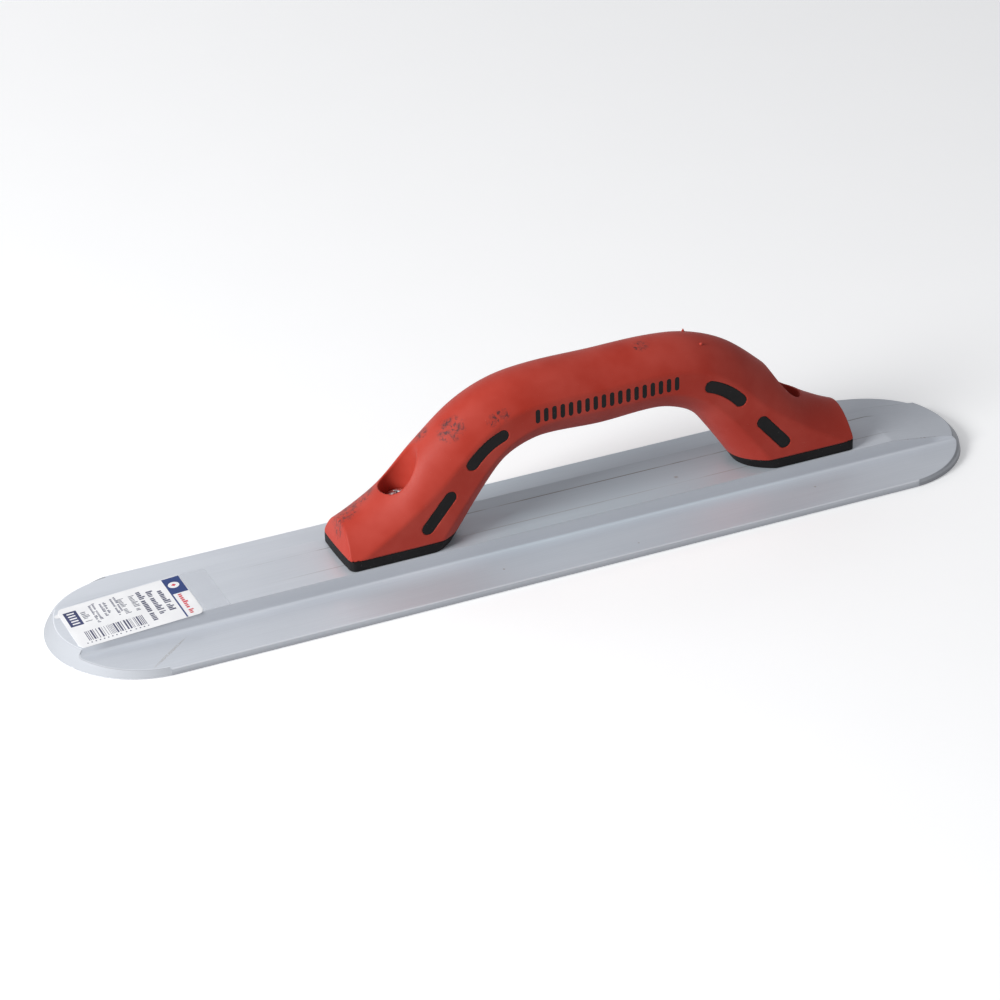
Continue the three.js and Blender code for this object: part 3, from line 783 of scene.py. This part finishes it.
def crown_slope(t):
    u = t / SIDE_FLAT
    return u / SIDE_FLAT / np.sqrt(1 - u ** 2) / (1 - math.sqrt(1 - 1 / SIDE_FLAT ** 2))


def body_field(x, y, z):
    """The handle's outside, without a bottom: negative inside, in millimetres from the surface."""
    distance = np.minimum(np.abs(x - HANDLE_X), TABLE_REACH - 0.1)
    across = np.abs(y)
    width = look_up("width", distance)
    t = np.minimum(across / width, 1.0)
    upper = look_up("upper", distance)
    crest = np.maximum(look_up("crest", distance), upper + 0.5)
    lower = np.minimum(look_up("lower", distance), upper - 1.0)
    keel = np.minimum(look_up("keel", distance), lower - 0.5)
    drop = crown_drop(t)
    lean_y = crown_slope(t) / width
    top = upper + (crest - upper) * (1 - drop)
    top_slope = look_up("crest", distance, True) * (1 - drop) + look_up("upper", distance, True) * drop
    over = (z - top) / np.sqrt(1 + top_slope ** 2 + ((crest - upper) * lean_y) ** 2)
    bottom = lower - (lower - keel) * (1 - drop)
    bottom_slope = look_up("keel", distance, True) * (1 - drop) + look_up("lower", distance, True) * drop
    under = (bottom - z) / np.sqrt(1 + bottom_slope ** 2 + ((lower - keel) * lean_y) ** 2)
    side = across - width
    body = smooth_max(smooth_max(over, under, 1.0), side, 0.5)
    lean = 1 - np.maximum(z - FOOT_TOP, 0) * TOE_LEAN / HANDLE_HALF
    end = distance - (HANDLE_HALF - (across / TOE_BOW) ** 2) * lean
    return np.maximum(smooth_max(body, end, 0.6), smooth_max(side, end, 3.0))


def well_field(x, y):
    """Distance outside the nearer screw well."""
    return np.hypot(np.abs(x - HANDLE_X) - SCREW_FROM_MIDDLE, y) - WELL_RADIUS


def curve_points(knots, count=24):
    """Points on the curve through a window's two or three knots, which lie evenly along it."""
    at = np.linspace(0, 1, len(knots))
    points = []
    for s in np.linspace(0, 1, count):
        weights = [np.prod([(s - b) / (a - b) for b in at if b != a]) for a in at]
        points.append(np.array(weights) @ np.array(knots))
    return points


def window_field(x, z, knots):
    """Distance outside one window's outline, the same on both legs."""
    distance = np.abs(x - HANDLE_X)
    best = np.inf
    points = curve_points(knots)
    for (x0, z0), (x1, z1) in zip(points, points[1:]):
        dx, dz = x1 - x0, z1 - z0
        s = np.clip(((distance - x0) * dx + (z - z0) * dz) / (dx * dx + dz * dz), 0, 1)
        best = np.minimum(best, np.hypot(distance - x0 - s * dx, z - z0 - s * dz))
    return best - WINDOW_RADIUS


def grip_field(x, y, z):
    body = body_field(x, y, z)
    grip = smooth_max(body, FOOT_TOP + 0.03 - z, 0.35)
    well = np.maximum(well_field(x, y), SHELF_HEIGHT - 1.0 - z)
    grip = smooth_max(grip, -well, 0.9)
    near = np.abs(y) > 8
    for line in (LOWER_WINDOW, UPPER_WINDOW):
        pocket = np.full(x.shape, 9.0)
        spots = near & (grip > -6)
        pocket[spots] = window_field(x[spots], z[spots], line)
        pocket = np.maximum(pocket, -(body + WINDOW_DEPTH))
        grip = smooth_max(grip, -pocket, 0.12)
    return grip


def foot_field(x, y, z):
    body = body_field(x, y, z)
    slab = np.maximum(z - (FOOT_TOP - 0.02), CORE_LOW[2] - z)
    return smooth_max(body + 0.02, slab, 0.3)


def pad_field(line):
    def field(x, y, z):
        body = body_field(x, y, z)
        pad = smooth_max(body + PAD_SINK, window_field(x, z, line) + WINDOW_GAP, 0.15)
        return np.maximum(pad, -(body + WINDOW_DEPTH - 0.3))
    return field


def build_grip(red):
    low = [v - 1.2 for v in GRIP_LOW]
    high = [v + 1.2 for v in GRIP_HIGH]
    step = 0.55
    piece = net_piece("handle_grip", grip_field, low, high, step, 0.75, red)
    place(piece, ["handle_grip"])


def mirrored(net, sx, sy):
    """The net's points, faces and normals, mirrored along X or Y about the handle's middle by these signs."""
    points, faces, normals = net
    signs = np.array([sx, sy, 1.0])
    middle = np.array([HANDLE_X, 0.0, 0.0])
    return middle + (points - middle) * signs, faces if sx * sy > 0 else faces[:, ::-1], normals * signs


def build_core(black):
    step = 0.4
    foot_low = (HANDLE_X + 50, GRIP_LOW[1] - 1, CORE_LOW[2] - 1)
    foot_high = (GRIP_HIGH[0] + 1, GRIP_HIGH[1] + 1, FOOT_TOP + 1)
    foot = surface_net(foot_field, foot_low, foot_high, step)
    parts = [mirrored(foot, sx, 1) for sx in (1, -1)]
    for knots in (LOWER_WINDOW, UPPER_WINDOW):
        xs, zs = zip(*knots)
        low = (HANDLE_X + min(xs) - 4, 9.0, min(zs) - 4)
        high = (HANDLE_X + max(xs) + 4, GRIP_HIGH[1] + 1, max(zs) + 4)
        pad = surface_net(pad_field(knots), low, high, step * 0.8)
        parts += [mirrored(pad, sx, sy) for sy in (1, -1) for sx in (1, -1)]
    points, faces, normals = zip(*parts)
    starts = np.cumsum([0] + [len(p) for p in points])
    faces = [face + start for face, start in zip(faces, starts)]
    mesh = mesh_from("handle_core", np.concatenate(points), np.concatenate(faces))
    custom_normals(mesh, np.concatenate(normals))
    place(add_object("handle_core", mesh, black), ["handle_core"])


MARK_LOW = 57.5
MARK_HIGH = 63.9
MARK_REACH = 31.2
MARK_COUNT = 18
MARK_WIDTH = 2.1
MARK_LAYERS = [(-0.6, 1.0), (-0.02, 1.0), (0.02, 0.93)]


def build_marks(black):
    """A row of plain round-ended bars of the hard core, showing in the middle of each side."""
    work = bmesh.new()
    middle, radius = (MARK_LOW + MARK_HIGH) / 2, MARK_WIDTH / 2
    half = (MARK_HIGH - MARK_LOW) / 2 - radius
    outline = [
        (end * math.cos(angle) * radius, end * (half + math.sin(angle) * radius))
        for end in (1, -1) for angle in np.linspace(0.0, math.pi, 11)]
    for side in (-1, 1):
        for x in np.linspace(-MARK_REACH, MARK_REACH, MARK_COUNT):
            layers = []
            for depth, grow in MARK_LAYERS:
                ring = []
                for u, v in outline:
                    distance = x + u * grow
                    width = look_up("width", abs(distance))
                    point = (HANDLE_X + distance, side * (width + depth), middle + v * grow)
                    ring.append(work.verts.new(Vector(point) * MM))
                layers.append(ring)
            join_rings(work, layers)
            work.faces.new(layers[-1])
            work.faces.new(layers[0][::-1])
    place(piece_from(work, "side_marks", black), [])


NUBS = [((77.2, 3.5, 74.5), 1.2, 0.8), ((80.4, -6.5, 71.7), 1.1, 1.0)]
NUB_RINGS = [(1.0, -0.3), (0.82, 0.12), (0.5, 0.45), (0.28, 0.8)]


def build_nubs(red):
    """Two little tags of moulding flash on top of the grip."""
    work = bmesh.new()
    for start, tall, radius in NUBS:
        points, normals = settle(body_field, np.array([start]), 12, 0.5)
        foot, out = Vector(points[0]), Vector(normals[0])
        across = out.cross(Vector((0.3, 1.0, 0.2))).normalized()
        other = out.cross(across)
        rings = []
        for share, rise in NUB_RINGS:
            ring = []
            for angle in (2 * math.pi * k / 10 for k in range(10)):
                reach = radius * share * (1 + 0.18 * math.sin(3 * angle + share * 5))
                side = across * math.cos(angle) + other * math.sin(angle) * 0.7
                ring.append(work.verts.new((foot + side * reach + out * rise * tall) * MM))
            rings.append(ring)
        join_rings(work, rings)
        tip = work.verts.new((foot + out * tall + across * 0.15) * MM)
        for k, vertex in enumerate(rings[-1]):
            work.faces.new((rings[-1][k - 1], vertex, tip))
        work.faces.new(rings[0][::-1])
    place(piece_from(work, "grip_flash", red, 70), [])


# Fasteners

SCREW = {
    "head": 5.8, "head_height": 3.7, "dome": 9.0, "shank": 1.7,
    "recess": 6.2, "blade": 1.3, "recess_depth": 2.1}
WASHER_HOLE = 1.95
WASHER_EDGE = 0.15


def screw_field(x0, seat, low, turn):
    """A domed screw with a cross recess, its head on seat and its shank down to low."""
    top = seat + SCREW["head_height"]
    half_long, half_short = SCREW["recess"] / 2, SCREW["blade"] / 2
    cos, sin = math.cos(math.radians(turn)), math.sin(math.radians(turn))

    def field(x, y, z):
        u = x - x0
        r = np.hypot(u, y)
        a = np.abs(u * cos + y * sin)
        b = np.abs(y * cos - u * sin)
        dome = np.hypot(r, z - top + SCREW["dome"]) - SCREW["dome"]
        disc = smooth_max(smooth_max(r - SCREW["head"], seat - z, 0.4), dome, 1.2)
        shank = smooth_max(r - SCREW["shank"], np.maximum(low - z, z - seat - 1), 0.6)
        slots = [np.maximum(p - half_long, q - half_short) for p, q in ((a, b), (b, a))]
        cross = smooth_min(*slots, 0.5) + 0.125 * (top - z)
        cross = np.maximum(cross, top - SCREW["recess_depth"] - z)
        return smooth_max(np.minimum(disc, shank), -cross, 0.3)
    return field


def build_fasteners(zinc):
    step = 0.22
    for end, side, turn in (("front", -1, 20), ("rear", 1, 65)):
        x0 = HANDLE_X + side * SCREW_FROM_MIDDLE
        low, high = box_mm(f"{end}_screw")
        field = screw_field(x0, high[2] - SCREW["head_height"], low[2], turn)
        around = [v - 0.5 for v in low], [v + 0.5 for v in high]
        piece = net_piece(f"{end}_screw", field, *around, step, 0.35, zinc)
        place(piece, [f"{end}_screw"])
        place(washer_piece(f"{end}_washer", x0, zinc), [f"{end}_washer"])


def washer_piece(node, x0, zinc):
    low, high = box_mm(node)
    outer, inner, edge = (high[0] - low[0]) / 2, WASHER_HOLE, WASHER_EDGE
    profile = [
        (inner + edge, low[2]), (outer - edge, low[2]), (outer, low[2] + edge), (outer, high[2] - edge),
        (outer - edge, high[2]), (inner + edge, high[2]), (inner, high[2] - edge), (inner, low[2] + edge)]
    angles = [2 * math.pi * i / 64 for i in range(64)]
    work = bmesh.new()
    rings = [
        [work.verts.new(Vector((x0 + r * math.cos(a), r * math.sin(a), z)) * MM) for a in angles]
        for r, z in profile]
    join_rings(work, rings + rings[:1])
    return piece_from(work, node, zinc)


# Label

LABEL_CENTRE = ((LABEL_LOW[0] + LABEL_HIGH[0]) / 2, (LABEL_LOW[1] + LABEL_HIGH[1]) / 2)
LABEL_TURN = math.radians(-0.6)
LABEL_SIZE = (51.6, 31.8)
LABEL_CORNER = 2.6
FILM_CENTRE = ((FILM_LOW[0] + FILM_HIGH[0]) / 2, (FILM_LOW[1] + FILM_HIGH[1]) / 2)
FILM_SIZE = (10.8, 31.2)
FILM_CORNER = 0.8
PRINT_LIFT = 0.215
PLATE_DEPTH = 0.015
OVERPRINT = 0.012
# Lines of greeked text: where each one stands along the label, and where it starts and ends across it.
LARGE_LINES = [(15.4, 8.6, -9.6), (11.2, 10.4, -9.6), (7.4, 12.0, -12.2)]
SMALL_LINES = [
    (-2.4, 13.4, 1.6), (-4.0, 12.8, -0.6), (-7.2, 11.8, 3.0), (-8.8, 11.4, 0.8),
    (-11.4, 13.2, -0.2), (-13.0, 12.4, -1.6)]


def sheet_point(centre, u, v, lift):
    """A point of a sticker, from its own u along the blade and v across it, lift above the rib."""
    x = centre[0] + u * math.cos(LABEL_TURN) - v * math.sin(LABEL_TURN)
    y = centre[1] + u * math.sin(LABEL_TURN) + v * math.cos(LABEL_TURN)
    return (x, y, rib_top_at(abs(x), FRONT_RAMP) + lift)


def sheet_piece(name, centre, size, corner, low, high, material):
    """A thin sheet with rounded corners and a soft edge, lying along the rib."""
    work = bmesh.new()
    half_u, half_v = size[0] / 2, size[1] / 2
    columns, rows = 52, 24
    top, bottom = {}, {}
    for i in range(columns + 1):
        u = -half_u + 2 * half_u * i / columns
        inset = max(0.0, corner - (half_u - abs(u)))
        reach = half_v - corner + math.sqrt(max(corner ** 2 - inset ** 2, 0.0))
        for j in range(rows + 1):
            v = -reach + 2 * reach * j / rows
            at_rim = i in (0, columns) or j in (0, rows)
            lift = high - 0.3 * (high - low) if at_rim else high
            top[i, j] = work.verts.new(Vector(sheet_point(centre, u, v, lift)) * MM)
            if at_rim:
                bottom[i, j] = work.verts.new(Vector(sheet_point(centre, u, v, low)) * MM)
    for i in range(columns):
        for j in range(rows):
            work.faces.new((top[i, j], top[i + 1, j], top[i + 1, j + 1], top[i, j + 1]))
        start = [bottom[0, j] for j in range(1, rows)] if i == 0 else []
        end = [bottom[columns, j] for j in range(rows - 1, 0, -1)] if i == columns - 1 else []
        work.faces.new((bottom[i, 0], *start, bottom[i, rows], bottom[i + 1, rows], *end, bottom[i + 1, 0]))
    rim = [(i, 0) for i in range(columns)] + [(columns, j) for j in range(rows)]
    rim += [(i, rows) for i in range(columns, 0, -1)] + [(0, j) for j in range(rows, 0, -1)]
    for a, b in zip(rim, rim[1:] + rim[:1]):
        work.faces.new((bottom[a], bottom[b], top[b], top[a]))
    bmesh.ops.remove_doubles(work, verts=work.verts, dist=0.001 * MM)
    return piece_from(work, name, material, 50)


class Print:
    """Flat printed shapes on the label, each a thin plate just above the paper."""

    def __init__(self, name, lift, material):
        self.name, self.lift, self.material = name, lift, material
        self.vertices, self.faces = [], []

    def shape(self, outline):
        start, count = len(self.vertices), len(outline)
        for lift in (self.lift, self.lift - PLATE_DEPTH):
            self.vertices += [sheet_point(LABEL_CENTRE, u, v, lift) for u, v in outline]
        upper = [start + k for k in range(count)]
        lower = [start + count + k for k in range(count)]
        self.faces += [upper, lower[::-1]]
        self.faces += [(lower[k - 1], lower[k], upper[k], upper[k - 1]) for k in range(count)]

    def block(self, u0, u1, v0, v1):
        self.shape([(u0, v0), (u1, v0), (u1, v1), (u0, v1)])

    def disc(self, u, v, radius):
        angles = [2 * math.pi * k / 28 for k in range(28)]
        self.shape([(u + radius * math.cos(a), v + radius * math.sin(a)) for a in angles])

    def words(self, u, v_start, v_end, height, rng, weight, gap):
        """A line of greeked text running across the label: short upright dashes grouped like words."""
        v = v_start
        while v > v_end:
            for _ in range(rng.randint(4, 9)):
                stroke = weight * rng.uniform(0.8, 1.3)
                tall = height * rng.choice((0.62, 0.62, 0.7, 1.0))
                if v - stroke < v_end:
                    return
                self.block(u - height / 2, u - height / 2 + tall, v - stroke, v)
                v -= stroke + gap * rng.uniform(0.8, 1.2)
            v -= gap * 2.2

    def finish(self):
        mesh = mesh_from(self.name, self.vertices, self.faces)
        place(add_object(self.name, mesh, self.material), [])


def build_label():
    white = paper("label_paper", (0.8, 0.8, 0.81), (0.86, 0.86, 0.865))
    sheet = sheet_piece("label", LABEL_CENTRE, LABEL_SIZE, LABEL_CORNER, 0.03, 0.2, white)
    place(sheet, ["label"])
    film = sheet_piece("label_film", FILM_CENTRE, FILM_SIZE, FILM_CORNER, 0.03, 0.12, clear_film())
    place(film, ["label_film"])
    rng = random.Random(5)
    blue = Print("label_blue_print", PRINT_LIFT, paper("ink_blue", (0.012, 0.035, 0.16), (0.02, 0.05, 0.2)))
    blue.block(18.9, 25.5, 2.9, 15.5)
    blue.block(18.3, 18.95, -15.6, 15.5)
    badge = Print("label_badge", PRINT_LIFT + OVERPRINT, white)
    badge.disc(21.6, 9.6, 2.3)
    red_ink = paper("ink_red", (0.6, 0.04, 0.06), (0.7, 0.06, 0.09))
    red = Print("label_red_print", PRINT_LIFT + 2 * OVERPRINT, red_ink)
    red.shape([(20.6, 9.6), (21.6, 8.6), (22.6, 9.6), (21.6, 10.6)])
    red.words(21.6, 2.0, -14.6, 2.1, rng, 0.9, 0.42)
    dark = Print("label_dark_print", PRINT_LIFT, paper("ink_dark", (0.05, 0.055, 0.11), (0.08, 0.085, 0.15)))
    for line in LARGE_LINES:
        dark.words(*line, 2.7, rng, 0.85, 0.38)
    for line in SMALL_LINES:
        dark.words(*line, 1.2, rng, 0.5, 0.32)
    # A block of plain bars of mixed widths, and a row of short dashes beside it.
    u = -20.8
    while u < 2.9:
        bar = rng.choice((0.16, 0.16, 0.3, 0.7))
        dark.block(u, u + bar, -12.2, -4.9)
        u += bar + rng.choice((0.35, 0.5, 0.9))
    u = -22.2
    while u < 4.0:
        dark.block(u, u + 0.5, -13.9, -13.2)
        u += rng.choice((1.7, 1.7, 2.3))
    grey = Print("label_grey_print", PRINT_LIFT, paper("ink_grey", (0.12, 0.13, 0.17), (0.17, 0.18, 0.22)))
    for u in (3.8, -0.7):
        grey.words(u, 10.8, -1.6, 2.4, rng, 0.5, 0.5)
    grey.words(-16.4, 9.2, 1.4, 2.8, rng, 0.55, 0.6)
    box = Print("label_number_box", PRINT_LIFT, paper("ink_navy", (0.02, 0.03, 0.1), (0.035, 0.045, 0.14)))
    box.block(-24.2, -18.8, 0.6, 12.0)
    knock = Print("label_number_bars", PRINT_LIFT + OVERPRINT, white)
    for k in range(5):
        knock.block(-23.0, -20.0, 1.9 + 2.0 * k, 2.8 + 2.0 * k)
    # One small white dot shows past the label's end.
    dot = Print("label_corner_dot", 0.1, white)
    dot.disc(-26.2, 11.4, 1.5)
    for part in (blue, badge, red, dark, grey, box, knock, dot):
        part.finish()


# Stage

def build_floor():
    work = bmesh.new()
    bmesh.ops.create_grid(work, x_segments=8, y_segments=8, size=4.0)
    mesh = bpy.data.meshes.new("floor")
    work.to_mesh(mesh)
    work.free()
    floor = add_object("floor", mesh, floor_white())
    floor.location.z = -0.0003
    floor.visible_diffuse = False


def add_softbox(name, place_at, target, size, power):
    light = bpy.data.lights.new(name, "AREA")
    light.shape = "RECTANGLE"
    light.size, light.size_y = size
    light.energy = power
    lamp = bpy.data.objects.new(name, light)
    bpy.context.scene.collection.objects.link(lamp)
    lamp.location = place_at
    lamp.rotation_euler = (Vector(target) - lamp.location).to_track_quat("-Z", "Y").to_euler()


def build_lights():
    add_softbox("key", (-1.3, -0.4, 0.74), (0.0, 0.0, 0.03), (0.55, 0.55), 25)
    add_softbox("back", (-0.45, 1.3, 0.65), (-0.1, 0.0, 0.05), (1.7, 1.2), 5.0)
    add_softbox("front_top", (0.5, -0.7, 1.15), (0.0, 0.0, 0.02), (0.9, 0.5), 1.0)
    world = bpy.data.worlds.new("studio")
    bpy.context.scene.world = world
    world.use_nodes = True
    background = world.node_tree.nodes["Background"]
    background.inputs["Color"].default_value = (0.93, 0.95, 1.0, 1)
    background.inputs["Strength"].default_value = 0.31


CAMERA_AZIMUTH = math.radians(-23.632)
CAMERA_ELEVATION = math.radians(29.346)
CAMERA_ROLL = math.radians(-1.582)
CAMERA_DISTANCE = 1531.79
CAMERA_TARGET = (4.50, 29.19, 0.0)
LENS = 131.75
SENSOR = 36.0


def build_camera():
    camera = bpy.data.cameras.new("camera")
    camera.lens = LENS
    camera.sensor_width = SENSOR
    camera.clip_end = 100
    holder = bpy.data.objects.new("camera", camera)
    bpy.context.scene.collection.objects.link(holder)
    level = math.cos(CAMERA_ELEVATION)
    ahead = Vector((
        -math.sin(CAMERA_AZIMUTH) * level, math.cos(CAMERA_AZIMUTH) * level, -math.sin(CAMERA_ELEVATION)))
    right = ahead.cross(Vector((0, 0, 1))).normalized()
    up = right.cross(ahead)
    cos, sin = math.cos(CAMERA_ROLL), math.sin(CAMERA_ROLL)
    turn = Matrix((right * cos + up * sin, up * cos - right * sin, -ahead)).transposed().to_4x4()
    place_at = (Vector(CAMERA_TARGET) - ahead * CAMERA_DISTANCE) * MM
    holder.matrix_world = Matrix.Translation(place_at) @ turn
    bpy.context.scene.camera = holder


def build():
    bpy.context.scene.view_settings.view_transform = "Standard"
    bpy.context.scene.view_settings.look = "None"
    build_camera()
    build_floor()
    build_lights()
    black = black_plastic()
    zinc = zinc_steel()
    build_blade()
    red = red_rubber()
    build_grip(red)
    build_nubs(red)
    build_core(black)
    build_marks(black)
    build_fasteners(zinc)
    build_label()


build()
